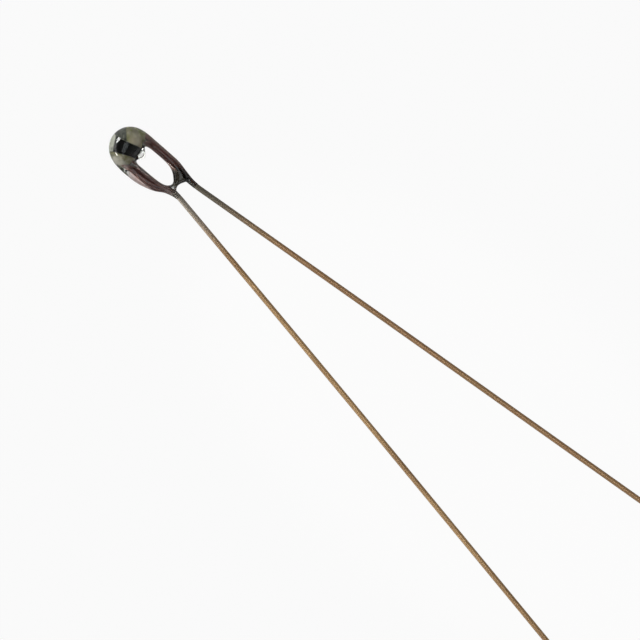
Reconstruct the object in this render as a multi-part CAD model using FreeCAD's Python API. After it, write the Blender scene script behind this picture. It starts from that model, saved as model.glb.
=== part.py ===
import FreeCAD, Part
import math
import os

from FreeCAD import Vector

# A glass-encapsulated NTC chip thermistor on two bare solid wires.
# Lengths are in millimetres and angles in degrees. The loop of the two legs is drawn in the XY plane:
# +X runs from the bead towards the leads, +Y towards leg A, and the origin is the centre of the bead.
# At the end the whole part is tipped about Y, so that the bead and both lead tips touch one level surface.

# Wires: diameter, the two parallel legs, where each wire leaves the glass, and how the leads spread
lead_diameter = 0.20
leg_a_offset = 0.61
leg_b_offset = 0.55
leg_start_x = 0.24
leg_a_end_x = 1.78
leg_b_end_x = 1.12
leg_b_knee_x = 1.72
leg_b_knee_y = -0.46
exit_a_x = 2.60
exit_a_y = 0.447
exit_b_x = 2.40
exit_b_y = -0.205
spread_a = 5.12
spread_b = 9.80
bow_a = -0.17
bow_b = 0.43
bow_x = 11.5
crop_x = 28.0
bend_share = 0.45

# Chip, the electrodes fired on it and the paste that bonds it to the wire tips
chip_side = 0.62
chip_thickness = 0.42
chip_x = -0.01
chip_y = -0.12
chip_turn = 18.0
electrode_thickness = 0.02
electrode_margin = 0.03
tip_x = -0.20
tip_gap_a = 0.21
tip_gap_b = 0.08
bond_lap_a = 0.05
bond_lap_b = 0.07
bond_shift_a = 0.03
bond_cover = 0.04
bond_margin = 0.01
bond_creep_x = 0.27

# Glass bead and its nose, a knob that bulges from the bead's arch into the slot
glass_over_chip = 0.37
bead_x = 0.09
bead_y = -0.02
bead_arch = 0.07
nose_reach = 0.71
nose_radius = 0.175
nose_y = 0.05
nose_root = 0.09
nose_arc = 60.0
horn_x = 0.40
horn_round = 0.09
horn_drop = 0.07

# Glass skin on the legs and the web that ties them
skin_a = 0.075
skin_b = 0.155
lip_b = 0.22
skin_at_web = 0.035
skin_start_x = 0.55
skin_end_x = 2.15
leg_a_half_height = 0.20
leg_b_half_height = 0.30
web_x = 2.11
web_thickness = 0.20
web_half_height = 0.14
web_spread = 14.0
web_waist = 0.30
slot_power_a = 6
slot_power_b = 8
lobe_reach = 0.20

# Glass collars that taper along the wires where they leave the web
collar_overlap = 0.16
collar_reach_a = 0.50
collar_reach_b = 0.28
collar_wall = 0.035
collar_edge = 0.008

# Number of sections round the ring, of points round a section, of circles along a taper and of
# points along an outline, and how far a section's points crowd towards its inner edge, for the nose
ring_steps = 44
section_steps = 14
nose_crowding = 0.25
taper_steps = 4
outline_steps = 8

# Derived sizes
lead_radius = lead_diameter / 2
electrode_side = chip_side - 2 * electrode_margin
chip_centre = Vector(chip_x, chip_y, 0)
bead_centre = Vector(bead_x, bead_y, 0)
bead_radius = leg_a_offset + lead_radius + skin_a - bead_y
bead_half_height = chip_side / 2 + glass_over_chip
slot_top = leg_a_offset - lead_radius - skin_a
slot_bottom = lead_radius + skin_b - leg_b_offset
slot_centre = Vector((nose_reach + web_x) / 2, (slot_top + slot_bottom) / 2, 0)
lead_side_x = web_x + web_thickness
UP = Vector(0, 0, 1)
ORIGIN = Vector(0, 0, 0)


def heading(degrees):
    """Unit vector in the loop's plane, turned so far from +X towards +Y."""
    angle = math.radians(degrees)
    return Vector(math.cos(angle), math.sin(angle), 0)


def evenly(start, end, steps):
    """Values from start to end in equal steps, both ends included."""
    return [start + (end - start) * i / (steps - 1) for i in range(steps)]


def wire_corners(tip_y, leg, exit_point, first_heading, last_heading):
    """Corners of one wire's straight runs: tip, leg, exit from the glass, slight bow, cropped end."""
    first = heading(first_heading)
    last = heading(last_heading)
    bow = exit_point + first * ((bow_x - exit_point.x) / first.x)
    end = bow + last * ((crop_x - bow.x) / last.x)
    return [Vector(tip_x, tip_y, 0)] + leg + [exit_point, bow, end]


def bent_path(corners):
    """Straight runs joined by tangent arcs, each arc as large as the shorter of its runs allows."""
    edges = []
    start = corners[0]
    for before, corner, after in zip(corners, corners[1:], corners[2:]):
        inward = (corner - before).normalize()
        outward = (after - corner).normalize()
        tangent = bend_share * min((corner - before).Length, (after - corner).Length)
        half_turn = inward.getAngle(outward) / 2
        sagitta = tangent * (1 / math.cos(half_turn) - 1) / math.tan(half_turn)
        arc_start = corner - inward * tangent
        arc_middle = corner + (outward - inward).normalize() * sagitta
        arc_end = corner + outward * tangent
        edges.append(Part.LineSegment(start, arc_start).toShape())
        edges.append(Part.Arc(arc_start, arc_middle, arc_end).toShape())
        start = arc_end
    edges.append(Part.LineSegment(start, corners[-1]).toShape())
    return Part.Wire(edges)


def height_at(corners, x):
    """Height of a wire's straight runs over the loop's axis at x."""
    for start, end in zip(corners, corners[1:]):
        if x <= end.x:
            break
    return start.y + (end.y - start.y) * (x - start.x) / (end.x - start.x)


def make_lead(corners):
    """Round wire swept along its bent path."""
    profile = Part.Wire(Part.makeCircle(lead_radius, corners[0], corners[1] - corners[0]))
    return bent_path(corners).makePipeShell([profile], True, True)


def on_wire(path, x):
    """Point of a wire's centre line at x."""
    cut = Part.LineSegment(Vector(x, -crop_x, 0), Vector(x, crop_x, 0)).toShape()
    return cut.distToShape(path)[1][0][1]


def taper_along(corners, start_x, end_x, radii):
    """Smooth round solid drawn along a wire through circles of the given radii."""
    path = bent_path(corners)
    circles = []
    for x, radius in zip(evenly(start_x, end_x, len(radii)), radii):
        axis = on_wire(path, x + collar_edge) - on_wire(path, x)
        circles.append(Part.Wire(Part.makeCircle(radius, on_wire(path, x), axis)))
    return Part.makeLoft(circles, True)


def make_slab(side, thickness, middle_y):
    """Square plate across the chip's thickness, middle_y from the chip's centre, turned with the chip."""
    corner = Vector(-side / 2, middle_y - thickness / 2, -side / 2)
    slab = Part.makeBox(side, thickness, side, corner)
    slab.rotate(ORIGIN, UP, chip_turn)
    slab.translate(chip_centre)
    return slab


def make_bond(side, wire_gap, lap, shift, corners, lead):
    """Cap of paste on one electrode, side +1 or -1, that buries the wire's tip and creeps along it.

    The cap's foot laps over the chip's edges, and its middle is shifted along the electrode.
    """
    foot = side * (chip_thickness / 2 + electrode_thickness)
    base_radius = chip_side / 2 + lap
    rise = wire_gap + lead_diameter + bond_cover
    radius = (base_radius ** 2 + rise ** 2) / (2 * rise)
    lowest = math.degrees(math.asin((radius - rise) / radius))
    cap = Part.makeSphere(radius, ORIGIN, Vector(0, side, 0), lowest, 90)
    cap.translate(Vector(shift, foot + side * (rise - radius), 0))
    cap.rotate(ORIGIN, UP, chip_turn)
    cap.translate(chip_centre)
    coat = lead_radius + bond_cover
    sleeve = taper_along(corners, tip_x + bond_margin, bond_creep_x,
                         [coat - bond_margin, coat, coat, lead_radius + bond_margin])
    sleeve = sleeve.cut(make_slab(2 * chip_side, chip_side, foot - side * chip_side / 2))
    return cap.fuse(sleeve).cut(lead)


def outer_outline(corners_a, corners_b):
    """Closed curve round the glass in the loop's plane: bead, leg B, the web's lead side, leg A."""
    bead = [bead_centre + heading(angle) * bead_radius for angle in (105, 130, 155, 180, 205, 230)]
    leg_a = []
    leg_b = []
    for x in evenly(skin_start_x, skin_end_x, outline_steps):
        share = (x - skin_start_x) / (skin_end_x - skin_start_x)
        cover_a = skin_a + (skin_at_web - skin_a) * share ** 2
        cover_b = lip_b + (skin_at_web - lip_b) * share ** 2
        leg_a.append(Vector(x, height_at(corners_a, x) + lead_radius + cover_a, 0))
        leg_b.append(Vector(x, height_at(corners_b, x) - lead_radius - cover_b, 0))
    lobe_x = lead_side_x + lobe_reach
    flank_x = lead_side_x + lobe_reach / 2
    high = height_at(corners_a, lobe_x)
    low = height_at(corners_b, lobe_x)
    web = [
        Vector(flank_x, low - lead_radius - skin_at_web, 0),
        Vector(lobe_x, low, 0),
        Vector(flank_x, low + lead_radius, 0),
        Vector(lead_side_x, low * web_waist, 0),
        Vector(lead_side_x, high * web_waist, 0),
        Vector(flank_x, high - lead_radius - skin_at_web, 0),
        Vector(lobe_x, high, 0),
        Vector(flank_x, height_at(corners_a, flank_x) + lead_radius + collar_edge, 0),
    ]
    curve = Part.BSplineCurve()
    curve.interpolate(Points=bead + leg_b + web + leg_a[::-1], PeriodicFlag=True)
    return curve.toShape()


def slot_outline(with_nose):
    """Closed curve of the slot: straight legs that round into the web, and the bead's side of it.

    With t from 0 at the horns to 1 at the web, the edge of leg A lies at slot_top times (1 - t to a
    high power), and that of leg B at slot_bottom times the root of such a term. The bead's side is a
    shallow arch between the horns, or the nose with two straight flanks.
    """
    start_a = horn_x + horn_round
    edge_a = []
    edge_b = []
    for share in evenly(0, 1, 2 * outline_steps):
        x_a = start_a + (web_x - start_a) * share
        x_b = horn_x + (web_x - horn_x) * share
        edge_a.append(Vector(x_a, slot_top * (1 - share ** slot_power_a), 0))
        edge_b.append(Vector(x_b, slot_bottom * math.sqrt(1 - share ** slot_power_b), 0))
    horn = Vector(horn_x, slot_top - horn_drop, 0)
    rim = Part.BSplineCurve()
    rim.interpolate([horn] + edge_a + edge_b[-2::-1])
    if with_nose:
        middle = Vector(nose_reach - nose_radius, nose_y, 0)
        upper = middle + heading(nose_arc) * nose_radius
        lower = middle + heading(-nose_arc) * nose_radius
        nose = Part.Arc(upper, Vector(nose_reach, nose_y, 0), lower)
        bead_side = [Part.LineSegment(horn, upper), nose, Part.LineSegment(lower, edge_b[0])]
    else:
        arch = Part.BSplineCurve()
        arch.interpolate([horn + (edge_b[0] - horn) * share
                          + Vector(bead_arch * math.sin(math.pi * share), 0, 0)
                          for share in evenly(0, 1, outline_steps)])
        bead_side = [arch]
    return Part.Wire([curve.toShape() for curve in bead_side + [rim]])


def reach(outline, direction):
    """Distance from the slot's centre to an outline along one direction."""
    ray = Part.LineSegment(slot_centre, slot_centre + direction * crop_x).toShape()
    return (ray.distToShape(outline)[1][0][0] - slot_centre).Length


def half_height(out, middle):
    """Half the glass's height, and the share of it that is bead, at one place round the ring."""
    from_bead = slot_centre + out * middle - Vector(0, bead_centre.y, 0)
    in_bead = math.sqrt(max(0, 1 - (from_bead.Length / bead_radius) ** 2))
    side_a = (1 + out.y) / 2
    in_leg = leg_a_half_height * side_a + leg_b_half_height * (1 - side_a)
    at_web = math.exp(-(math.degrees(math.acos(out.x)) / web_spread) ** 2)
    in_leg += (web_half_height - in_leg) * at_web
    return (in_leg ** 4 + (bead_half_height * in_bead) ** 4) ** 0.25, in_bead


def section(near, arch, far, height, in_bead):
    """Points round one section of the ring, as pairs of distance from the slot's centre and height.

    The height is the fourth root of body^4 + nose^4. The body is half an ellipse from the bead's arch
    to the outer outline. The nose is half a circle from the nose's edge to a little under the body.
    """
    middle = (arch + far) / 2
    half_width = (far - arch) / 2
    nose_half = (arch - near + nose_root * in_bead ** 4) / 2
    points = []
    for i in range(section_steps):
        turn = 2 * math.pi * i / section_steps
        turn += nose_crowding * math.sin(turn)
        along = (near + far) / 2 + (far - near) / 2 * math.cos(turn)
        body = height * math.sqrt(max(0, 1 - ((along - middle) / half_width) ** 2))
        nose = math.sqrt(max(0, nose_half ** 2 - (along - near - nose_half) ** 2))
        points.append((along, math.copysign((body ** 4 + nose ** 4) ** 0.25, math.sin(turn))))
    return points


def poles_through(values):
    """Poles of a closed even cubic curve that meets the values, found by moving each by its miss."""
    poles = list(values)
    for _ in range(40):
        missed = [value - (poles[i - 1] + 4 * poles[i] + poles[(i + 1) % len(poles)]) / 6
                  for i, value in enumerate(values)]
        poles = [pole + miss for pole, miss in zip(poles, missed)]
    return poles


def make_ring(corners_a, corners_b):
    """Closed ring of glass: sections swung round the slot's centre, from its outline to the outer one."""
    outer = outer_outline(corners_a, corners_b)
    slot = slot_outline(True)
    bead_side = slot_outline(False)
    rows = []
    for i in range(ring_steps):
        out = heading(90 + 360 * i / ring_steps)
        near = reach(slot, out)
        far = reach(outer, out)
        height, in_bead = half_height(out, (near + far) / 2)
        points = section(near, reach(bead_side, out), far, height, in_bead)
        alongs = poles_through([along for along, rise in points])
        rises = poles_through([rise for along, rise in points])
        rows.append([slot_centre + out * along + UP * rise for along, rise in zip(alongs, rises)])
    surface = Part.BSplineSurface()
    surface.buildFromPolesMultsKnots(
        rows, [1] * (ring_steps + 1), [1] * (section_steps + 1),
        list(range(ring_steps + 1)), list(range(section_steps + 1)), True, True, 3, 3)
    ring = Part.Solid(Part.Shell([surface.toShape()]))
    if ring.Volume < 0:
        ring.reverse()
    return ring


def make_collar(corners, length):
    """Meniscus of glass that thins along the wire from inside the web to its edge."""
    radii = [lead_radius + collar_edge + (collar_wall - collar_edge) * share ** 2
             for share in evenly(1, 0, taper_steps)]
    return taper_along(corners, lead_side_x - collar_overlap, lead_side_x + length, radii)


face_a = chip_y + chip_thickness / 2 + electrode_thickness
face_b = chip_y - chip_thickness / 2 - electrode_thickness
legs_a = [Vector(leg_start_x, leg_a_offset, 0), Vector(leg_a_end_x, leg_a_offset, 0)]
legs_b = [Vector(leg_start_x, -leg_b_offset, 0), Vector(leg_b_end_x, -leg_b_offset, 0),
          Vector(leg_b_knee_x, leg_b_knee_y, 0)]
wire_a = wire_corners(face_a + tip_gap_a + lead_radius, legs_a, Vector(exit_a_x, exit_a_y, 0),
                      spread_a, spread_a + bow_a)
wire_b = wire_corners(face_b - tip_gap_b - lead_radius, legs_b, Vector(exit_b_x, exit_b_y, 0),
                      -spread_b, -spread_b - bow_b)

nodes = {}
nodes["lead_a"] = make_lead(wire_a)
nodes["lead_b"] = make_lead(wire_b)
electrode_middle = (chip_thickness + electrode_thickness) / 2
nodes["ceramic_chip"] = make_slab(chip_side, chip_thickness, 0)
nodes["electrode_a"] = make_slab(electrode_side, electrode_thickness, electrode_middle)
nodes["electrode_b"] = make_slab(electrode_side, electrode_thickness, -electrode_middle)
nodes["bond_a"] = make_bond(1, tip_gap_a, bond_lap_a, bond_shift_a, wire_a, nodes["lead_a"])
nodes["bond_b"] = make_bond(-1, tip_gap_b, bond_lap_b, 0, wire_b, nodes["lead_b"])
glass = make_ring(wire_a, wire_b)
glass = glass.fuse([make_collar(wire_a, collar_reach_a), make_collar(wire_b, collar_reach_b)])
glass = glass.cut(list(nodes.values()))
nodes["glass_body"] = glass

bead_low = -glass.optimalBoundingBox(False, False).ZMin
tilt = math.degrees(math.atan((bead_low - lead_radius) / crop_x))
os.makedirs("parts", exist_ok=True)
for name, shape in nodes.items():
    shape.rotate(ORIGIN, Vector(0, 1, 0), tilt)
    shape.exportStep("parts/" + name + ".step")
    print(name, "valid" if shape.isValid() else "not valid", "solids", len(shape.Solids),
          "volume", round(shape.Volume, 5))
print("tilt", round(tilt, 4), "bead low", round(bead_low, 4))
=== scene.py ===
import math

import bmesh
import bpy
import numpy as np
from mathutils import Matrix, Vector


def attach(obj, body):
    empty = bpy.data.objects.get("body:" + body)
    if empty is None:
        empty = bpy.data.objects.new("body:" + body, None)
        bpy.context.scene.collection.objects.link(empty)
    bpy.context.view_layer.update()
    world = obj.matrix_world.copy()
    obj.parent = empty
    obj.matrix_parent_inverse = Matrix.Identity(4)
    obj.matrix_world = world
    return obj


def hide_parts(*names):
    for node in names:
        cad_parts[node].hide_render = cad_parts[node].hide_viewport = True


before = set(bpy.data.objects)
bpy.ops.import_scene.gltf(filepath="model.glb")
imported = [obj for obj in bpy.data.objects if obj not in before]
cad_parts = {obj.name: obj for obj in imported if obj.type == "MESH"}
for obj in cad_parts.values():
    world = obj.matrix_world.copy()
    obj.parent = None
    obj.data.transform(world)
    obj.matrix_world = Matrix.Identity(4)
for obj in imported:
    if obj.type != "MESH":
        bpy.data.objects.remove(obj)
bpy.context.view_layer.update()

# Looks of a glass-encapsulated NTC thermistor: clear melted glass over a black ceramic chip with two
# silver plates, two bonds of fired paste and two drawn wires that leave the glass and spread. Lengths
# are in millimetres in the loop's own plane until a mesh is written, which tips the points and turns
# them into metres.

MM = 0.001
UP = np.array([0.0, 0.0, 1.0])
ALONG_X = (1.0, 0.0, 0.0)
ALONG_Y = (0.0, 1.0, 0.0)

# Wires
LEAD_RADIUS = 0.10
LEG_START_X = 0.24
EXIT_A = (2.60, 0.447)
EXIT_B = (2.40, -0.205)
LEG_A = [(LEG_START_X, 0.61), (1.78, 0.61)]
LEG_B = [(LEG_START_X, -0.55), (1.12, -0.55), (1.72, -0.46)]
SPREAD_A = 5.12
SPREAD_B = 9.80
BOW_A = -0.17
BOW_B = 0.43
BOW_X = 11.5
CROP_X = 28.0
BEND_SHARE = 0.45
TIP_X = -0.20
CUT_EDGE = 0.025
CUT_RINGS = 6
WIRE_SPACING = 0.06
WIRE_FACETS = 36

# Chip, electrodes and bonds
CHIP_SIDE = 0.62
CHIP_THICKNESS = 0.42
CHIP_CENTRE = np.array([-0.01, -0.12, 0.0])
CHIP_TURN = 18.0
CHIP_EDGE = 0.018
ELECTRODE_THICKNESS = 0.02
ELECTRODE_MARGIN = 0.03
ELECTRODE_EDGE = 0.004
TIP_GAP_A = 0.21
TIP_GAP_B = 0.08
BOND_LAP_A = 0.05
BOND_LAP_B = 0.07
BOND_SHIFT_A = 0.03
BOND_SHIFT_B = 0.0
BOND_COVER = 0.04
BOND_CREEP_X = 0.27
BOND_SPACING = 0.02
BOND_EYE = 0.35
BOND_LUMPS = 0.03
SLEEVE_STRETCH = 1.15
WAVE_COUNT = 14
WAVE_PACES = (2.0, 9.0)

# Glass
BEAD_CENTRE = np.array([0.09, -0.02, 0.0])
BEAD_RADIUS = 0.805
BEAD_HALF_HEIGHT = 0.68
BEAD_ANGLES = np.arange(105.0, 231.0, 25.0)
NOSE_REACH = 0.71
NOSE_Y = 0.05
NOSE_RADIUS = 0.175
NOSE_ROOT = 0.09
NOSE_CROWDING = 0.25
BEAD_ARCH = 0.07
NOSE_ARC = 60.0
HORN = np.array([0.40, 0.365])
HORN_ROUND = 0.09
SLOT_TOP = 0.435
SLOT_BOTTOM = -0.295
SLOT_POWER_A = 6
SLOT_POWER_B = 8
SLOT_EDGE_POINTS = 16
SLOT_RIM_POINTS = 5000
NOSE_ARC_POINTS = 600
NOSE_FLANK_POINTS = 400
BEAD_ARCH_POINTS = 900
SKIN_A = 0.075
LIP_B = 0.22
SKIN_AT_WEB = 0.035
SKIN_START_X = 0.55
SKIN_END_X = 2.15
SKIN_POINTS = 8
OUTER_RIM_POINTS = 6000
LEG_A_HALF_HEIGHT = 0.20
LEG_B_HALF_HEIGHT = 0.30
WEB_X = 2.11
WEB_THICKNESS = 0.20
WEB_HALF_HEIGHT = 0.14
WEB_SPREAD = 14.0
WEB_WAIST = 0.30
LOBE_REACH = 0.20
COLLAR_REACH_A = 0.50
COLLAR_REACH_B = 0.28
COLLAR_WALL = 0.035
COLLAR_EDGE = 0.008
COLLAR_FLAT = 0.35
COLLAR_PULL = 1.3
COLLAR_SPACING = 0.01
SKIN_DEPTH = 0.003
RING_POLES = 44
SECTION_POLES = 28
RING_STEPS = 1008
SECTION_STEPS = 96
SLOT_CENTRE = np.array([(NOSE_REACH + WEB_X) / 2, (SLOT_TOP + SLOT_BOTTOM) / 2, 0.0])
LEAD_SIDE_X = WEB_X + WEB_THICKNESS

BEAD_LOW = 0.6768
TILT = math.atan((BEAD_LOW - LEAD_RADIUS) / CROP_X)

# Photograph's view: straight down, turned about the vertical, 640 pixels over this width
VIEW_TURN = 40.3
VIEW_CENTRE = (9.395, -0.328)
VIEW_WIDTH = 23.27
VIEW_DISTANCE = 500.0


def heading(degrees):
    """Unit vectors in the loop's plane, turned so far from +X towards +Y."""
    angle = np.radians(degrees)
    return np.stack([np.cos(angle), np.sin(angle), np.zeros_like(angle)], axis=-1)


def put_in_scene(name, data):
    """New object in the scene that shows the data."""
    made = bpy.data.objects.new(name, data)
    bpy.context.scene.collection.objects.link(made)
    return made


def write_mesh(name, points, faces, finish, smooth=True):
    """Mesh object from points in the loop's plane: tipped about Y, scaled to metres, faces as a list."""
    cosine, sine = math.cos(TILT), math.sin(TILT)
    tipped = np.stack([points[:, 0] * cosine + points[:, 2] * sine, points[:, 1],
                       points[:, 2] * cosine - points[:, 0] * sine], axis=1) * MM
    mesh = bpy.data.meshes.new(name)
    mesh.from_pydata(tipped.tolist(), [], faces)
    mesh.polygons.foreach_set("use_smooth", np.full(len(mesh.polygons), smooth))
    mesh.materials.append(finish)
    mesh.update()
    return put_in_scene(name, mesh)


def weld(piece):
    """Joins points that lie within a hundred-thousandth of a millimetre of each other."""
    together = 1e-8
    work = bmesh.new()
    work.from_mesh(piece.data)
    bmesh.ops.remove_doubles(work, verts=work.verts, dist=together)
    bmesh.ops.dissolve_degenerate(work, edges=work.edges, dist=together)
    work.to_mesh(piece.data)
    work.free()


def closed_grid_faces(rows, columns):
    """Quads of a grid that closes on itself both ways; a row is one section."""
    row, column = np.meshgrid(np.arange(rows), np.arange(columns), indexing="ij")
    next_row, next_column = (row + 1) % rows, (column + 1) % columns
    corners = [row * columns + column, next_row * columns + column,
               next_row * columns + next_column, row * columns + next_column]
    return np.stack(corners, axis=-1).reshape(-1, 4)


def tube_faces(rows, columns):
    """Quads between neighbouring rings of a tube, each ring closed on itself."""
    row, column = np.meshgrid(np.arange(rows - 1), np.arange(columns), indexing="ij")
    next_column = (column + 1) % columns
    corners = [row * columns + column, row * columns + next_column,
               (row + 1) * columns + next_column, (row + 1) * columns + column]
    return np.stack(corners, axis=-1).reshape(-1, 4)


def ball_directions(latitude, longitude):
    """Unit vectors to every crossing of the circles of latitude and longitude, in radians."""
    level, around = np.meshgrid(latitude, longitude, indexing="ij")
    return np.stack([np.cos(level) * np.cos(around), np.cos(level) * np.sin(around), np.sin(level)], axis=-1)


def smooth_curve(points, closed, count):
    """Cubic spline through points, measured by its chords: the second derivatives come from one
    linear system in which the slopes on both sides of each point agree."""
    points = np.asarray(points, float)
    knots = np.vstack([points, points[:1]]) if closed else points
    step = np.linalg.norm(np.diff(knots, axis=0), axis=1)
    slope = np.diff(knots, axis=0) / step[:, None]
    size = len(knots) - 1 if closed else len(knots)
    system = np.eye(size)
    right = np.zeros((size, points.shape[1]))
    inner = np.arange(size) if closed else np.arange(1, size - 1)
    before = (inner - 1) % len(step)
    system[inner, (inner - 1) % size] = step[before]
    system[inner, inner] = 2 * (step[before] + step[inner])
    system[inner, (inner + 1) % size] = step[inner]
    right[inner] = 6 * (slope[inner] - slope[before])
    bend = np.linalg.solve(system, right)
    if closed:
        bend = np.vstack([bend, bend[:1]])
    at = np.concatenate([[0], np.cumsum(step)])
    where = np.linspace(0, at[-1], count)
    piece = np.clip(np.searchsorted(at, where, side="right") - 1, 0, len(step) - 1)
    span = step[piece][:, None]
    left = (at[piece + 1] - where)[:, None]
    gone = (where - at[piece])[:, None]
    return ((bend[piece] * left ** 3 + bend[piece + 1] * gone ** 3) / (6 * span)
            + (knots[piece] / span - bend[piece] * span / 6) * left
            + (knots[piece + 1] / span - bend[piece + 1] * span / 6) * gone)


def wire_corners(side, gap, leg, exit_point, first_heading, last_heading):
    """Corners of one wire's straight runs: tip, leg, exit from the glass, slight bow, cropped end."""
    tip_y = CHIP_CENTRE[1] + side * (CHIP_THICKNESS / 2 + ELECTRODE_THICKNESS + gap + LEAD_RADIUS)
    first, last = heading(first_heading), heading(last_heading)
    exit_point = np.array([*exit_point, 0.0])
    bow = exit_point + first * ((BOW_X - exit_point[0]) / first[0])
    end = bow + last * ((CROP_X - bow[0]) / last[0])
    return np.array([[TIP_X, tip_y, 0.0], *[[x, y, 0.0] for x, y in leg], exit_point, bow, end])


def bent_path(corners, spacing):
    """Points along straight runs joined by tangent arcs, an arc's tangent a share of its shorter run.

    An arc is drawn as its start, plus its radius times (1 - cosine) of the angle turned to the side,
    plus its radius times the sine along the run.
    """
    least_in_run, least_in_arc = 2, 6
    line = []
    start = corners[0]
    for before, corner, after in zip(corners, corners[1:], corners[2:]):
        inward = (corner - before) / np.linalg.norm(corner - before)
        outward = (after - corner) / np.linalg.norm(after - corner)
        tangent = BEND_SHARE * min(np.linalg.norm(corner - before), np.linalg.norm(after - corner))
        turn = math.atan2(np.cross(inward, outward)[2], inward @ outward)
        radius = tangent / math.tan(turn / 2)
        arc_start = corner - inward * tangent
        run = np.linalg.norm(arc_start - start)
        share = np.linspace(0, 1, max(least_in_run, round(run / spacing)), endpoint=False)[:, None]
        line.append(start + (arc_start - start) * share)
        aside = np.cross(UP, inward)
        steps = max(least_in_arc, round(abs(radius * turn) / spacing))
        angle = np.linspace(0, turn, steps, endpoint=False)[:, None]
        line.append(arc_start + aside * radius * (1 - np.cos(angle)) + inward * radius * np.sin(angle))
        start = corner + outward * tangent
    run = np.linalg.norm(corners[-1] - start)
    share = np.linspace(0, 1, max(least_in_run, round(run / spacing)))[:, None]
    line.append(start + (corners[-1] - start) * share)
    return np.vstack(line)


def path_frames(path):
    """Length run along a path in the loop's plane, its headings and its sideways directions."""
    step = np.diff(path, axis=0)
    length = np.concatenate([[0], np.cumsum(np.linalg.norm(step, axis=1))])
    along = np.gradient(path, length, axis=0)
    along /= np.linalg.norm(along, axis=1)[:, None]
    return length, along, np.cross(UP, along)


def read_at(where, length, values):
    """Points or directions of a path, read at other lengths along it."""
    return np.stack([np.interp(where, length, values[:, k]) for k in range(3)], axis=1)


def height_at(corners, x):
    """Height of a wire's straight runs over the loop's axis at x."""
    return np.interp(x, corners[:, 0], corners[:, 1])


def drawn_wire(name, corners, finish):
    """Round wire: a circle carried along its path, drawn in at both cut ends.

    The radius falls over the last part of each end as the root of one minus the share squared. The
    attribute along_wire holds the length run, in millimetres, and the place on the circle.
    """
    path = bent_path(corners, WIRE_SPACING)
    length, along, aside = path_frames(path)
    cut_rings = CUT_EDGE * (1 - np.cos(np.linspace(0, math.pi / 2, CUT_RINGS)))
    between = length[(length > CUT_EDGE) & (length < length[-1] - CUT_EDGE)]
    at = np.unique(np.concatenate([between, cut_rings, length[-1] - cut_rings]))
    path, aside = read_at(at, length, path), read_at(at, length, aside)
    depth = np.clip(np.minimum(at, length[-1] - at) / CUT_EDGE, 0, 1)
    radius = LEAD_RADIUS - CUT_EDGE + CUT_EDGE * np.sqrt(1 - (1 - depth) ** 2)
    turn = np.linspace(0, 2 * math.pi, WIRE_FACETS, endpoint=False)
    circle = aside[:, None] * np.cos(turn)[:, None] + UP * np.sin(turn)[:, None]
    points = (path[:, None] + circle * radius[:, None, None]).reshape(-1, 3)
    rows = len(at)
    around = np.arange(WIRE_FACETS)
    beside = (around + 1) % WIRE_FACETS
    last_ring = (rows - 1) * WIRE_FACETS
    first_centre, last_centre = np.full(WIRE_FACETS, len(points)), np.full(WIRE_FACETS, len(points) + 1)
    faces = tube_faces(rows, WIRE_FACETS).tolist()
    faces += np.stack([beside, around, first_centre], axis=1).tolist()
    faces += np.stack([last_ring + around, last_ring + beside, last_centre], axis=1).tolist()
    wire = write_mesh(name, np.vstack([points, path[:1], path[-1:]]), faces, finish)
    run = np.concatenate([np.repeat(at, WIRE_FACETS), at[[0, -1]]])
    turn = np.concatenate([np.tile(turn, rows), [0, 0]])
    along_wire = np.stack([run, LEAD_RADIUS * np.cos(turn), LEAD_RADIUS * np.sin(turn)], axis=1)
    layer = wire.data.attributes.new("along_wire", "FLOAT_VECTOR", "POINT")
    layer.data.foreach_set("vector", along_wire.astype(np.float32).ravel())
    return wire


def outer_outline(corners_a, corners_b):
    """Closed curve round the glass in the loop's plane: bead, leg B, the web's lead side, leg A."""
    bead = BEAD_CENTRE + heading(BEAD_ANGLES) * BEAD_RADIUS
    x = np.linspace(SKIN_START_X, SKIN_END_X, SKIN_POINTS)
    share = (x - SKIN_START_X) / (SKIN_END_X - SKIN_START_X)
    cover_a = SKIN_A + (SKIN_AT_WEB - SKIN_A) * share ** 2
    cover_b = LIP_B + (SKIN_AT_WEB - LIP_B) * share ** 2
    leg_a = np.stack([x, height_at(corners_a, x) + LEAD_RADIUS + cover_a], axis=1)
    leg_b = np.stack([x, height_at(corners_b, x) - LEAD_RADIUS - cover_b], axis=1)
    lobe_x = LEAD_SIDE_X + LOBE_REACH
    flank_x = LEAD_SIDE_X + LOBE_REACH / 2
    high, low = height_at(corners_a, lobe_x), height_at(corners_b, lobe_x)
    web = [(flank_x, low - LEAD_RADIUS - SKIN_AT_WEB), (lobe_x, low), (flank_x, low + LEAD_RADIUS),
           (LEAD_SIDE_X, low * WEB_WAIST), (LEAD_SIDE_X, high * WEB_WAIST),
           (flank_x, high - LEAD_RADIUS - SKIN_AT_WEB), (lobe_x, high),
           (flank_x, height_at(corners_a, flank_x) + LEAD_RADIUS + COLLAR_EDGE)]
    return smooth_curve(np.vstack([bead[:, :2], leg_b, web, leg_a[::-1]]), True, OUTER_RIM_POINTS)


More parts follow.
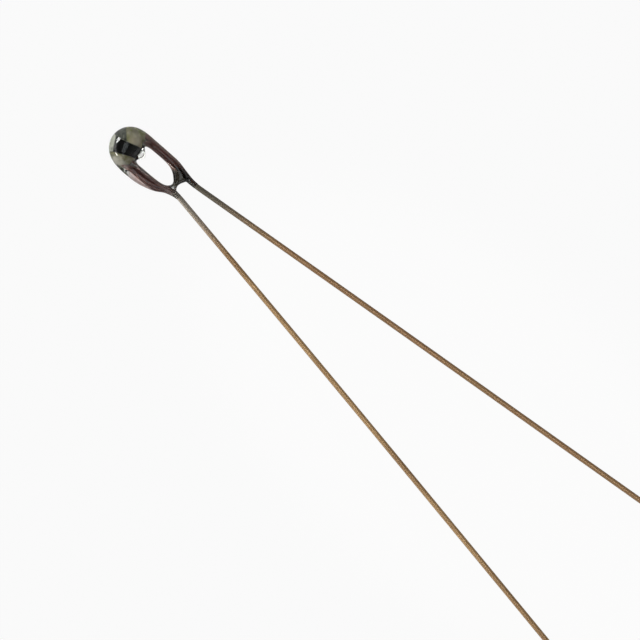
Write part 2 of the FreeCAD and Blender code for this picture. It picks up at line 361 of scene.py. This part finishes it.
def slot_outline(with_nose):
    """Closed curve of the slot: the legs' edges, rounded into the web, and the bead's side of it.

    With t from 0 at the horns to 1 at the web, leg A's edge is the slot's top times (1 - t^6), and
    leg B's the slot's bottom times the root of (1 - t^8). The bead's side is a shallow arch between
    the horns, or the nose with two straight flanks.
    """
    share = np.linspace(0, 1, SLOT_EDGE_POINTS)
    start_a = HORN[0] + HORN_ROUND
    edge_a = np.stack([start_a + (WEB_X - start_a) * share, SLOT_TOP * (1 - share ** SLOT_POWER_A)], axis=1)
    edge_b = np.stack([HORN[0] + (WEB_X - HORN[0]) * share,
                       SLOT_BOTTOM * np.sqrt(1 - share ** SLOT_POWER_B)], axis=1)
    rim = smooth_curve(np.vstack([HORN, edge_a, edge_b[-2::-1]]), False, SLOT_RIM_POINTS)
    if with_nose:
        nose = heading(np.linspace(-NOSE_ARC, NOSE_ARC, NOSE_ARC_POINTS))[:, :2] * NOSE_RADIUS
        nose += [NOSE_REACH - NOSE_RADIUS, NOSE_Y]
        share = np.linspace(0, 1, NOSE_FLANK_POINTS)[1:-1, None]
        flank_b = edge_b[0] + (nose[0] - edge_b[0]) * share
        flank_a = nose[-1] + (HORN - nose[-1]) * share
        return np.vstack([rim, flank_b, nose, flank_a])
    share = np.linspace(0, 1, BEAD_ARCH_POINTS)[1:-1]
    arch = edge_b[0] + (HORN - edge_b[0]) * share[:, None]
    arch[:, 0] += BEAD_ARCH * np.sin(math.pi * share)
    return np.vstack([rim, arch])


def reach(outline, degrees):
    """Distance from the slot's centre to an outline along each direction."""
    out = outline - SLOT_CENTRE[:2]
    angle = np.degrees(np.arctan2(out[:, 1], out[:, 0])) % 360
    order = np.argsort(angle)
    return np.interp(degrees % 360, angle[order], np.linalg.norm(out, axis=1)[order], period=360)


def cubic_blend(size, count):
    """Weights of a closed even cubic B-spline: each of count places blends its four nearest poles."""
    where = np.arange(count) * size / count
    cell = np.floor(where).astype(int)
    gone = where - cell
    weights = np.zeros((count, size))
    parts = [(1 - gone) ** 3 / 6, (3 * gone ** 3 - 6 * gone ** 2 + 4) / 6,
             (-3 * gone ** 3 + 3 * gone ** 2 + 3 * gone + 1) / 6, gone ** 3 / 6]
    for part, shift in zip(parts, (-1, 0, 1, 2)):
        weights[np.arange(count), (cell + shift) % size] += part
    return weights


def creep_along(points, corners, reach_x):
    """Glass drawn out along a wire where it leaves the web.

    A point nearer the wire's centre line than the collar's wall moves out along the wire. With u
    from 0 at the wall to 1 near the centre line, it goes the share u^1.3 of the way to the collar's
    end, at a radius of wire + edge + (wall - edge) * (1 - u)^2. Inside that, the end closes flat.
    """
    before_web, past_end, behind_skin_end = 0.25, 0.1, 0.02
    path = bent_path(corners, COLLAR_SPACING)
    length, along, aside = path_frames(path)
    near_web = (path[:, 0] > SKIN_END_X - before_web) & (path[:, 0] < LEAD_SIDE_X + reach_x + past_end)
    path, length, along, aside = path[near_web], length[near_web], along[near_web], aside[near_web]
    wall = LEAD_RADIUS + COLLAR_WALL
    chosen = np.flatnonzero(points[:, 0] > SKIN_END_X - behind_skin_end)
    some = points[chosen]
    nearest = np.argmin(np.linalg.norm(some[:, None] - path[None], axis=2), axis=1)
    offset = some - path[nearest]
    run = length[nearest] + np.sum(offset * along[nearest], axis=1)
    across = np.sum(offset * aside[nearest], axis=1)
    rise = offset[:, 2]
    radius = np.hypot(across, rise)
    inside = radius < wall
    chosen, run, across, rise, radius = (each[inside] for each in (chosen, run, across, rise, radius))
    end_run = np.interp(LEAD_SIDE_X + reach_x, path[:, 0], length)
    share = radius / wall
    u = np.clip((1 - share) / (1 - COLLAR_FLAT), 0, 1)
    new_radius = LEAD_RADIUS + COLLAR_EDGE + (COLLAR_WALL - COLLAR_EDGE) * (1 - u) ** 2
    new_radius *= np.clip(share / COLLAR_FLAT, 0, 1)
    new_run = run + (end_run - run) * u ** COLLAR_PULL
    turn = np.arctan2(rise, across)
    centre, sideways = read_at(new_run, length, path), read_at(new_run, length, aside)
    sideways *= (new_radius * np.cos(turn))[:, None]
    points[chosen] = centre + sideways + UP * (new_radius * np.sin(turn))[:, None]


def melted_glass(name, corners_a, corners_b, finish):
    """Bead, nose, glass-skinned legs, web and collars as one closed skin.

    A section swings round the slot's centre, from the slot's outline to the outer one. Its height is
    the fourth root of body^4 + nose^4. The body is half an ellipse from the bead's arch to the outer
    outline, as tall as the fourth root of leg height^4 + bead height^4. The nose is half a circle
    from the nose's edge to a little way under the body. Sections and their points are the poles of a
    cubic B-spline, and the collars are then drawn out along the wires.
    """
    degrees = 90 + 360 * np.arange(RING_POLES) / RING_POLES
    out = heading(degrees)
    near, arch = reach(slot_outline(True), degrees), reach(slot_outline(False), degrees)
    far = reach(outer_outline(corners_a, corners_b), degrees) - SKIN_DEPTH
    middle, half_width = (arch + far) / 2, (far - arch) / 2
    from_bead = SLOT_CENTRE + out * ((near + far) / 2)[:, None] - [0, BEAD_CENTRE[1], 0]
    in_bead = np.sqrt(np.clip(1 - (np.linalg.norm(from_bead, axis=1) / BEAD_RADIUS) ** 2, 0, None))
    side_a = (1 + out[:, 1]) / 2
    in_leg = LEG_A_HALF_HEIGHT * side_a + LEG_B_HALF_HEIGHT * (1 - side_a)
    at_web = np.exp(-(np.degrees(np.arccos(np.clip(out[:, 0], -1, 1))) / WEB_SPREAD) ** 2)
    in_leg += (WEB_HALF_HEIGHT - in_leg) * at_web
    height = (in_leg ** 4 + (BEAD_HALF_HEIGHT * in_bead) ** 4) ** 0.25 - SKIN_DEPTH / 4
    nose_radius = (arch - near + NOSE_ROOT * in_bead ** 4) / 2
    turn = 2 * math.pi * np.arange(SECTION_POLES) / SECTION_POLES
    turn = turn + NOSE_CROWDING * np.sin(turn)
    along = ((near + far) / 2)[:, None] + ((far - near) / 2)[:, None] * np.cos(turn)
    in_body = (along - middle[:, None]) / half_width[:, None]
    body = height[:, None] * np.sqrt(np.clip(1 - in_body ** 2, 0, None))
    in_nose = along - near[:, None] - nose_radius[:, None]
    nose = np.sqrt(np.clip(nose_radius[:, None] ** 2 - in_nose ** 2, 0, None))
    rise = (body ** 4 + nose ** 4) ** 0.25 * np.sign(np.sin(turn))
    gather = cubic_blend(SECTION_POLES, SECTION_POLES)
    along, rise = np.linalg.solve(gather, along.T).T, np.linalg.solve(gather, rise.T).T
    sweep, section = cubic_blend(RING_POLES, RING_STEPS), cubic_blend(SECTION_POLES, SECTION_STEPS)
    poles = [out[:, 0, None] * along, out[:, 1, None] * along, rise]
    points = np.stack([sweep @ pole @ section.T for pole in poles], axis=-1) + SLOT_CENTRE
    points = points.reshape(-1, 3)
    creep_along(points, corners_a, COLLAR_REACH_A)
    creep_along(points, corners_b, COLLAR_REACH_B)
    return write_mesh(name, points, closed_grid_faces(RING_STEPS, SECTION_STEPS).tolist(), finish)


def turn_with_chip(points):
    """Points of the chip's own frame, turned about the vertical and moved to its centre."""
    cosine, sine = math.cos(math.radians(CHIP_TURN)), math.sin(math.radians(CHIP_TURN))
    turned = np.stack([points[:, 0] * cosine - points[:, 1] * sine,
                       points[:, 0] * sine + points[:, 1] * cosine, points[:, 2]], axis=1)
    return turned + CHIP_CENTRE


def diced_block(name, sizes, middle_y, edge, finish):
    """Block with rounded edges, turned with the chip, middle_y across the chip from its centre.

    A sphere of the edge's radius is pulled apart towards the eight corners: a point is the radius
    times a direction, plus the corner that the direction's signs name.
    """
    columns, rows = 48, 24
    longitude = (np.arange(columns) + 0.5) * 2 * math.pi / columns
    level = (np.arange(rows) + 0.5) * math.pi / rows - math.pi / 2
    latitude = np.concatenate([[-math.pi / 2], level, [math.pi / 2]])
    way = ball_directions(latitude, longitude)
    corner = np.stack(np.broadcast_arrays(np.sign(np.cos(longitude)), np.sign(np.sin(longitude)),
                                          np.sign(latitude)[:, None]), axis=-1)
    points = (way * edge + corner * (np.asarray(sizes) / 2 - edge)).reshape(-1, 3)
    points[:, 1] += middle_y
    faces = tube_faces(len(latitude), columns).tolist()
    faces += [list(range(columns))[::-1], list(range(len(points) - columns, len(points)))]
    piece = write_mesh(name, turn_with_chip(points), faces, finish, smooth=False)
    weld(piece)
    return piece


def wavering(way, seed):
    """Sum of sine waves over directions, each with its own heading, pace and start, about 1 high."""
    draw = np.random.default_rng(seed)
    heads = draw.normal(size=(WAVE_COUNT, 3))
    heads /= np.linalg.norm(heads, axis=1)[:, None]
    pace = draw.uniform(*WAVE_PACES, WAVE_COUNT)
    start = draw.uniform(0, 2 * math.pi, WAVE_COUNT)
    return (np.sin(way @ heads.T * pace + start) / np.sqrt(pace)).sum(axis=-1) / math.sqrt(WAVE_COUNT)


def paste_bond(name, side, wire_gap, lap, shift, corners, seed, finish):
    """Lump of paste on one electrode that buries the wire's tip.

    Seen from a point in the lump, the skin lies at the eighth root of dome^8 + sleeve^8 along each
    direction, wavers a little, and stops at the electrode's flat face. The dome is a sphere whose
    foot fits the electrode, and the sleeve an ellipsoid drawn out along the wire.
    """
    foot = side * (CHIP_THICKNESS / 2 + ELECTRODE_THICKNESS)
    base_radius = CHIP_SIDE / 2 + lap
    rise = wire_gap + 2 * LEAD_RADIUS + BOND_COVER
    eye_height = BOND_EYE * rise
    dome_radius = (base_radius ** 2 + rise ** 2) / (2 * rise)
    columns, rows = 96, 64
    way = ball_directions(np.linspace(-math.pi / 2, math.pi / 2, rows),
                          np.arange(columns) * 2 * math.pi / columns)
    across = turn_with_chip(np.array([[0.0, float(side), 0.0]]))[0] - CHIP_CENTRE
    foot_point = turn_with_chip(np.array([[shift, foot, 0.0]]))[0]
    eye = foot_point + across * eye_height
    dome_centre = foot_point + across * (rise - dome_radius)
    toward = eye - dome_centre
    lean = way @ toward
    dome = -lean + np.sqrt(lean ** 2 - toward @ toward + dome_radius ** 2)
    path = bent_path(corners, BOND_SPACING)
    inner = path[path[:, 0] < BOND_CREEP_X]
    sleeve_run = np.linalg.norm(inner[-1] - inner[0])
    axis = (inner[-1] - inner[0]) / sleeve_run
    half_length = sleeve_run / 2 * SLEEVE_STRETCH
    coat = LEAD_RADIUS + BOND_COVER

    def squeezed(vectors):
        """Vectors of a space in which the sleeve is a ball of radius one."""
        run = vectors @ axis
        return (vectors - run[..., None] * axis) / coat + (run / half_length)[..., None] * axis

    start, step = squeezed(eye - inner.mean(axis=0)), squeezed(way)
    pace = np.sum(step * step, axis=-1)
    drift = step @ start
    room = drift ** 2 - pace * (start @ start - 1)
    sleeve = np.where(room > 0, (-drift + np.sqrt(np.clip(room, 0, None))) / pace, 0)
    sleeve = np.clip(sleeve, 0, None)
    skin = (dome ** 8 + sleeve ** 8) ** 0.125 * (1 + BOND_LUMPS * wavering(way, seed))
    down, hardly = -(way @ across), 1e-6
    skin = np.where(down > hardly, np.minimum(skin, eye_height / np.maximum(down, hardly)), skin)
    points = (eye + way * skin[..., None]).reshape(-1, 3)
    piece = write_mesh(name, points, tube_faces(rows, columns).tolist(), finish)
    weld(piece)
    return piece


def new_finish(name):
    """Empty material, its node tree and its principled shader."""
    finish = bpy.data.materials.new(name)
    finish.use_nodes = True
    return finish, finish.node_tree, finish.node_tree.nodes["Principled BSDF"]


def feed(tree, socket, value):
    """Links a socket to an earlier one, or gives it a plain number or colour."""
    if isinstance(value, bpy.types.NodeSocket):
        tree.links.new(value, socket)
    elif isinstance(value, tuple):
        socket.default_value = (*value, 1)
    else:
        socket.default_value = value


def reckoned(tree, operation, *values):
    """Result of one calculation on numbers, each a socket or plain."""
    node = tree.nodes.new("ShaderNodeMath")
    node.operation = operation
    for socket, value in zip(node.inputs, values):
        feed(tree, socket, value)
    return node.outputs[0]


def times(tree, first, *others):
    """Product of shares."""
    product = first
    for other in others:
        product = reckoned(tree, "MULTIPLY", product, other)
    return product


def measured(tree, place, operation, vector):
    """Dot product or distance of a place and a fixed vector."""
    node = tree.nodes.new("ShaderNodeVectorMath")
    node.operation = operation
    node.inputs[1].default_value = vector
    tree.links.new(place, node.inputs[0])
    return node.outputs["Value"]


def share_between(tree, value, low, high, eased=False):
    """Nothing at low and one at high, held there beyond them, and eased at both ends if asked."""
    node = tree.nodes.new("ShaderNodeMapRange")
    if eased:
        node.interpolation_type = "SMOOTHSTEP"
    node.inputs["From Min"].default_value = low
    node.inputs["From Max"].default_value = high
    tree.links.new(value, node.inputs["Value"])
    return node.outputs[0]


def own_place(tree):
    """Place in the object's own frame, in metres."""
    return tree.nodes.new("ShaderNodeTexCoord").outputs["Object"]


def placed(tree, low, high, way):
    """Share of the way from low to high along a direction of the object, in millimetres when the
    direction's length is one."""
    run = measured(tree, own_place(tree), "DOT_PRODUCT", way)
    return share_between(tree, run, low * MM, high * MM, eased=True)


def near_point(tree, centre, near, far):
    """One nearer than near to a point of the object, falling to nothing at far, in millimetres."""
    away = measured(tree, own_place(tree), "DISTANCE", [value * MM for value in centre])
    return share_between(tree, away, far * MM, near * MM, eased=True)


def tinted(tree, colour, tint, share):
    """Colour that goes over from a colour to a tint by a share; each colour is a socket or plain."""
    mix = tree.nodes.new("ShaderNodeMix")
    mix.data_type = "RGBA"
    tree.links.new(share, mix.inputs["Factor"])
    feed(tree, mix.inputs["A"], colour)
    feed(tree, mix.inputs["B"], tint)
    return mix.outputs["Result"]


def grain(tree, place, scale, detail, low, high):
    """Noise at a scale per unit of place, spread so that low gives nothing and high gives one."""
    noise = tree.nodes.new("ShaderNodeTexNoise")
    noise.inputs["Scale"].default_value = scale
    noise.inputs["Detail"].default_value = detail
    tree.links.new(place, noise.inputs["Vector"])
    return share_between(tree, noise.outputs["Fac"], low, high)


def stretched(tree, place, scale, turn=0.0):
    """Place scaled along its own axes and turned by degrees about the third one."""
    node = tree.nodes.new("ShaderNodeMapping")
    node.inputs["Scale"].default_value = scale
    node.inputs["Rotation"].default_value = (0, 0, math.radians(turn))
    tree.links.new(place, node.inputs["Vector"])
    return node.outputs[0]


def relief(tree, shader, height, depth):
    """Bump of a depth in millimetres from a share."""
    bump = tree.nodes.new("ShaderNodeBump")
    bump.inputs["Distance"].default_value = depth * MM
    tree.links.new(height, bump.inputs["Height"])
    tree.links.new(bump.outputs[0], shader.inputs["Normal"])


def glass_finish():
    """Clear bead glass: red-brown where copper oxide has gone into it along the legs, near black at the web
    as painted shade for the dark surroundings that the glass refracts there, with slight green-grey
    absorption all through."""
    finish, tree, shader = new_finish("bead_glass")
    leg_a = times(tree, placed(tree, 0.22, 0.55, ALONG_X),
                  placed(tree, 0.40, 0.50, ALONG_Y), placed(tree, 0.75, 0.67, ALONG_Y))
    leg_b = times(tree, placed(tree, 0.35, 0.75, ALONG_X),
                  placed(tree, -0.35, -0.45, ALONG_Y), placed(tree, -0.73, -0.60, ALONG_Y))
    beside_web = near_point(tree, (1.82, 0.38, 0), 0.14, 0.36)
    # web marks where the glass is tinted near black. This is painted shade standing in for the dark
    # surroundings that the web's glass refracts.
    web = near_point(tree, (2.13, 0.25, 0), 0.32, 0.52)
    nose = near_point(tree, (0.60, 0.02, 0), 0.15, 0.24)
    clear, light_smoke, painted_web_shade = (0.97, 0.98, 0.97), (0.72, 0.71, 0.71), (0.03, 0.026, 0.020)
    red_brown, deep_brown, brown = (0.44, 0.25, 0.21), (0.30, 0.165, 0.148), (0.30, 0.19, 0.16)
    colour = tinted(tree, clear, red_brown, leg_a)
    colour = tinted(tree, colour, deep_brown, leg_b)
    colour = tinted(tree, colour, brown, beside_web)
    colour = tinted(tree, colour, painted_web_shade, web)
    colour = tinted(tree, colour, light_smoke, nose)
    tree.links.new(colour, shader.inputs["Base Color"])
    shader.inputs["Transmission Weight"].default_value = 1.0
    shader.inputs["Roughness"].default_value = 0.02
    shader.inputs["IOR"].default_value = 1.5
    absorb = tree.nodes.new("ShaderNodeVolumeAbsorption")
    absorb.inputs["Color"].default_value = (0.62, 0.66, 0.58, 1)
    absorb.inputs["Density"].default_value = 600.0
    tree.links.new(absorb.outputs["Volume"], tree.nodes["Material Output"].inputs["Volume"])
    return finish


def ceramic_finish():
    """Black sintered oxide of fine grain, with a pale patch of painted light on the lower part of its far
    end, which the glass shows as a light rim.
    """
    finish, tree, shader = new_finish("black_oxide_ceramic")
    far_end, slanted_down = tuple(-heading(CHIP_TURN)), (0.0, -0.5, -1.0)
    place = own_place(tree)
    fine = grain(tree, place, 60000.0, 6.0, 0.35, 0.68)
    patchy = grain(tree, place, 7000.0, 3.0, 0.24, 0.48)
    # Painted light: a pale patch on the lower part of the far end, which the glass shows as a light rim at
    # the bead's edge.
    painted_rim_light = times(tree, placed(tree, 0.335, 0.35, far_end), placed(tree, 0.03, 0.20, slanted_down))
    black, worn, rim_light_pale = (0.0022, 0.0022, 0.0026), (0.010, 0.0095, 0.009), (0.95, 0.96, 0.84)
    colour = tinted(tree, tinted(tree, black, worn, fine), rim_light_pale, times(tree, painted_rim_light, patchy))
    tree.links.new(colour, shader.inputs["Base Color"])
    relief(tree, shader, fine, 0.004)
    shader.inputs["Roughness"].default_value = 0.6
    shader.inputs["Specular IOR Level"].default_value = 0.12
    return finish


def silver_finish():
    """Fired silver, dulled and yellowed under the paste."""
    finish, tree, shader = new_finish("fired_silver")
    fine = grain(tree, own_place(tree), 30000.0, 4.0, 0.3, 0.7)
    dull, bright = (0.20, 0.19, 0.15), (0.34, 0.32, 0.26)
    tree.links.new(tinted(tree, dull, bright, fine), shader.inputs["Base Color"])
    relief(tree, shader, fine, 0.003)
    shader.inputs["Roughness"].default_value = 0.55
    shader.inputs["Metallic"].default_value = 0.7
    return finish


def paste_finish():
    """Fired conductive paste with a sandy grain: olive, clouded with khaki and khaki in one patch on side A,
    with a painted highlight in cream on side B's rim and painted shade darkening side A towards the left of
    the view."""
    finish, tree, shader = new_finish("fired_paste")
    sandy, khaki = (0.48, 0.44, 0.34), (0.70, 0.62, 0.46)
    highlight_cream, shade_dark_grey = (0.95, 0.90, 0.78), (0.12, 0.125, 0.105)
    photo_right = tuple(heading(VIEW_TURN))
    place = own_place(tree)
    cloud = grain(tree, place, 3800.0, 3.0, 0.42, 0.62)
    sand = grain(tree, place, 26000.0, 4.0, 0.30, 0.72)
    side_a = placed(tree, -0.2, -0.1, ALONG_Y)
    khaki_patch = near_point(tree, (0.10, 0.25, 0.3), 0.10, 0.36)
    # Painted highlight: a cream patch on bond B's rim.
    painted_highlight_patch = near_point(tree, (0.04, -0.59, 0.1), 0.10, 0.30)
    # Painted shade: side A of the paste is darkened towards the left of the view.
    painted_shade_left = times(tree, placed(tree, -0.02, -0.10, photo_right), side_a)
    olive_b = tinted(tree, (0.25, 0.24, 0.115), (0.40, 0.36, 0.24), cloud)
    olive_a = tinted(tree, (0.36, 0.35, 0.16), (0.52, 0.48, 0.31), cloud)
    colour = tinted(tree, olive_b, olive_a, side_a)
    colour = tinted(tree, colour, sandy, times(tree, sand, sand, cloud))
    colour = tinted(tree, colour, khaki, khaki_patch)
    colour = tinted(tree, colour, highlight_cream, painted_highlight_patch)
    colour = tinted(tree, colour, shade_dark_grey, painted_shade_left)
    tree.links.new(colour, shader.inputs["Base Color"])
    relief(tree, shader, sand, 0.012)
    shader.inputs["Roughness"].default_value = 0.7
    shader.inputs["Specular IOR Level"].default_value = 0.25
    return finish


def wire_finish():
    """Copper-clad wire: red-brown oxide in the glass, grey heat tint where it leaves, golden brown
    further out, with drawing marks along it and darker stretches. Lead A is darker and redder, and
    the slant of the heat tint lets it run about a millimetre further there."""
    finish, tree, shader = new_finish("oxidised_wire")
    attribute = tree.nodes.new("ShaderNodeAttribute")
    attribute.attribute_name = "along_wire"
    drawn = attribute.outputs["Vector"]
    streaks = grain(tree, stretched(tree, drawn, (1.6, 34.0, 34.0), turn=2.5), 1.0, 3.0, 0.32, 0.68)
    stretches = grain(tree, stretched(tree, drawn, (0.55, 6.0, 6.0)), 1.0, 2.0, 0.40, 0.64)
    side_a = placed(tree, -0.1, 0.1, ALONG_Y)
    slanted = (1.0, -0.8, 0.0)
    past_glass = placed(tree, 6.1, 2.8, slanted)
    in_glass = placed(tree, 2.45, 2.15, ALONG_X)
    golden_b = tinted(tree, (0.35, 0.22, 0.099), (0.265, 0.163, 0.071), streaks)
    golden_a = tinted(tree, (0.262, 0.149, 0.067), (0.20, 0.110, 0.048), streaks)
    heated = tinted(tree, (0.37, 0.32, 0.26), (0.155, 0.13, 0.094), side_a)
    oxide = tinted(tree, (0.38, 0.225, 0.195), (0.29, 0.175, 0.155), streaks)
    dark_stretch = (0.23, 0.136, 0.060)
    colour = tinted(tree, golden_b, golden_a, side_a)
    colour = tinted(tree, colour, dark_stretch, stretches)
    colour = tinted(tree, colour, heated, past_glass)
    colour = tinted(tree, colour, oxide, in_glass)
    tree.links.new(colour, shader.inputs["Base Color"])
    relief(tree, shader, streaks, 0.002)
    shader.inputs["Roughness"].default_value = 0.5
    shader.inputs["Metallic"].default_value = 0.35
    return finish


def stand_in(piece, node_name):
    """Lets a piece ride on the root and replace a node, which it hides."""
    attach(piece, "root")
    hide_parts(node_name)


wire_a = wire_corners(1, TIP_GAP_A, LEG_A, EXIT_A, SPREAD_A, SPREAD_A + BOW_A)
wire_b = wire_corners(-1, TIP_GAP_B, LEG_B, EXIT_B, -SPREAD_B, -SPREAD_B - BOW_B)

glass = melted_glass("melted_glass", wire_a, wire_b, glass_finish())
stand_in(glass, "glass_body")

wire_look = wire_finish()
for node_name, corners in (("lead_a", wire_a), ("lead_b", wire_b)):
    wire = drawn_wire(node_name + "_wire", corners, wire_look)
    stand_in(wire, node_name)

chip_sizes = (CHIP_SIDE, CHIP_THICKNESS, CHIP_SIDE)
chip = diced_block("diced_chip", chip_sizes, 0, CHIP_EDGE, ceramic_finish())
stand_in(chip, "ceramic_chip")

silver_look = silver_finish()
plate_side = CHIP_SIDE - 2 * ELECTRODE_MARGIN
plate_sizes = (plate_side, ELECTRODE_THICKNESS, plate_side)
for node_name, side in (("electrode_a", 1), ("electrode_b", -1)):
    middle_y = side * (CHIP_THICKNESS + ELECTRODE_THICKNESS) / 2
    plate = diced_block(node_name + "_plate", plate_sizes, middle_y, ELECTRODE_EDGE, silver_look)
    stand_in(plate, node_name)

paste_look = paste_finish()
for node_name, side, gap, lap, shift, corners, seed in (
        ("bond_a", 1, TIP_GAP_A, BOND_LAP_A, BOND_SHIFT_A, wire_a, 3),
        ("bond_b", -1, TIP_GAP_B, BOND_LAP_B, BOND_SHIFT_B, wire_b, 8)):
    bond = paste_bond(node_name + "_paste", side, gap, lap, shift, corners, seed, paste_look)
    stand_in(bond, node_name)


def mixed_shaders(tree, first, second, share):
    """Goes over from one shader to another by a share."""
    mix = tree.nodes.new("ShaderNodeMixShader")
    for socket, given in zip(mix.inputs, (share, first, second)):
        tree.links.new(given, socket)
    return mix.outputs[0]


def white_floor():
    """Pale floor that the bead and the lead tips rest on. The camera sees it glow white with a trace
    of shadow, glossy rays see a tenth of that glow, and rays bent by the glass go through it."""
    seen_in_gloss, kept_white = 0.1, 0.94
    finish, tree, shader = new_finish("white_floor")
    shader.inputs["Base Color"].default_value = (0.5, 0.5, 0.5, 1)
    shader.inputs["Roughness"].default_value = 1.0
    shader.inputs["Specular IOR Level"].default_value = 0.0
    rays = tree.nodes.new("ShaderNodeLightPath").outputs
    glow = tree.nodes.new("ShaderNodeEmission").outputs[0]
    clear = tree.nodes.new("ShaderNodeBsdfTransparent").outputs[0]
    white = reckoned(tree, "MULTIPLY_ADD", rays["Is Glossy Ray"], seen_in_gloss, rays["Is Camera Ray"])
    seen = mixed_shaders(tree, shader.outputs[0], glow, times(tree, white, kept_white))
    seen = mixed_shaders(tree, seen, clear, rays["Is Transmission Ray"])
    tree.links.new(seen, tree.nodes["Material Output"].inputs["Surface"])
    half, level = 1.0, -BEAD_LOW * MM
    corners = [(-half, -half, level), (half, -half, level), (half, half, level), (-half, half, level)]
    mesh = bpy.data.meshes.new("floor")
    mesh.from_pydata(corners, [], [(0, 1, 2, 3)])
    mesh.materials.append(finish)
    floor = put_in_scene("floor", mesh)


def studio_world():
    """White to the camera. To light and glass: white straight below and dim elsewhere, with a glow
    below the horizon and a panel above it on the +Y side, and a bright band on the -Y side.

    Each part is a strength, pairs of height and level, and the side that it lies on, if any: a
    direction, and the cosines of the angle to it at which the part starts and is full.
    """
    surround = [(-1.0, 1.0), (-0.93, 1.0), (-0.86, 0.10), (-0.02, 0.10),
                (0.10, 0.14), (0.50, 0.14), (0.72, 0.03)]
    glow = [(-0.93, 0.0), (-0.82, 1.0), (-0.40, 0.7), (-0.05, 0.3), (0.05, 0.0)]
    panel = [(0.02, 0.0), (0.10, 1.0), (0.40, 1.0), (0.60, 0.0)]
    band = [(-0.02, 0.0), (0.06, 1.0), (0.25, 1.0), (0.42, 0.0)]
    world = bpy.data.worlds.new("studio")
    bpy.context.scene.world = world
    world.use_nodes = True
    tree = world.node_tree
    tree.nodes.clear()
    place = tree.nodes.new("ShaderNodeTexCoord").outputs["Generated"]
    split = tree.nodes.new("ShaderNodeSeparateXYZ")
    tree.links.new(place, split.inputs[0])
    height = share_between(tree, split.outputs["Z"], -1.0, 1.0)
    total = 0.0
    for strength, steps, side in (
            (1.0, surround, None),
            (0.6, glow, ((0, 1, 0), 0.10, 0.50)),
            (0.6, panel, ((0, 1, 0), 0.20, 0.60)),
            (1.4, band, ((0, -1, 0), 0.15, 0.50))):
        levels = tree.nodes.new("ShaderNodeValToRGB")
        tree.links.new(height, levels.inputs[0])
        while len(levels.color_ramp.elements) < len(steps):
            levels.color_ramp.elements.new(0.5)
        for element, (z, level) in zip(levels.color_ramp.elements, steps):
            element.position = (z + 1) / 2
            element.color = (level, level, level, 1)
        part = reckoned(tree, "MULTIPLY", levels.outputs[0], strength)
        if side:
            way, start, full = side
            lean = measured(tree, place, "DOT_PRODUCT", way)
            part = times(tree, part, share_between(tree, lean, start, full, eased=True))
        total = reckoned(tree, "ADD", total, part)
    camera_ray = tree.nodes.new("ShaderNodeLightPath").outputs["Is Camera Ray"]
    back = tree.nodes.new("ShaderNodeBackground")
    tree.links.new(tinted(tree, total, (1, 1, 1), camera_ray), back.inputs["Color"])
    out = tree.nodes.new("ShaderNodeOutputWorld")
    tree.links.new(back.outputs[0], out.inputs["Surface"])


def photograph_camera():
    """Long lens straight above, so that the part shows without perspective."""
    data = bpy.data.cameras.new("camera")
    data.sensor_width = 36.0
    data.lens = data.sensor_width * VIEW_DISTANCE / VIEW_WIDTH
    data.clip_end = 10.0
    camera = put_in_scene("camera", data)
    camera.location = (VIEW_CENTRE[0] * MM, VIEW_CENTRE[1] * MM, VIEW_DISTANCE * MM)
    camera.rotation_euler = (0, 0, math.radians(VIEW_TURN))
    bpy.context.scene.camera = camera


def soft_lamp(name, toward, distance, size, power, tint=(1, 1, 1), aim=(0, 0, 0), spread=180.0):
    """Elliptical area lamp that lies off a point in one direction and is aimed at it. The point is in
    millimetres, distance and size are in metres, and the spread is in degrees."""
    data = bpy.data.lights.new(name, "AREA")
    data.shape = "ELLIPSE"
    data.size, data.size_y = size
    data.energy = power
    data.color = tint
    data.spread = math.radians(spread)
    direction = Vector(toward).normalized()
    lamp = put_in_scene(name, data)
    lamp.location = Vector(aim) * MM + direction * distance
    lamp.rotation_euler = direction.to_track_quat("Z", "Y").to_euler()


white_floor()
studio_world()
photograph_camera()
soft_lamp("key_softbox", (-0.28, -0.96, 0.06), 0.4, (0.11, 0.11), 0.6, tint=(1.0, 0.96, 0.92))
soft_lamp("side_softbox", (-0.95, -0.10, 0.20), 0.4, (0.17, 0.17), 1.1)
soft_lamp("long_softbox", (0.16, -0.17, 0.97), 0.4, (0.25, 0.50), 0.36, tint=(0.90, 0.97, 1.0))
soft_lamp("lead_softbox", (0, 0, 1), 0.008, (0.025, 0.012), 0.00033, tint=(1.0, 0.95, 0.9),
          aim=(16.5, 0, 0), spread=30)

bpy.context.scene.view_settings.view_transform = "Standard"
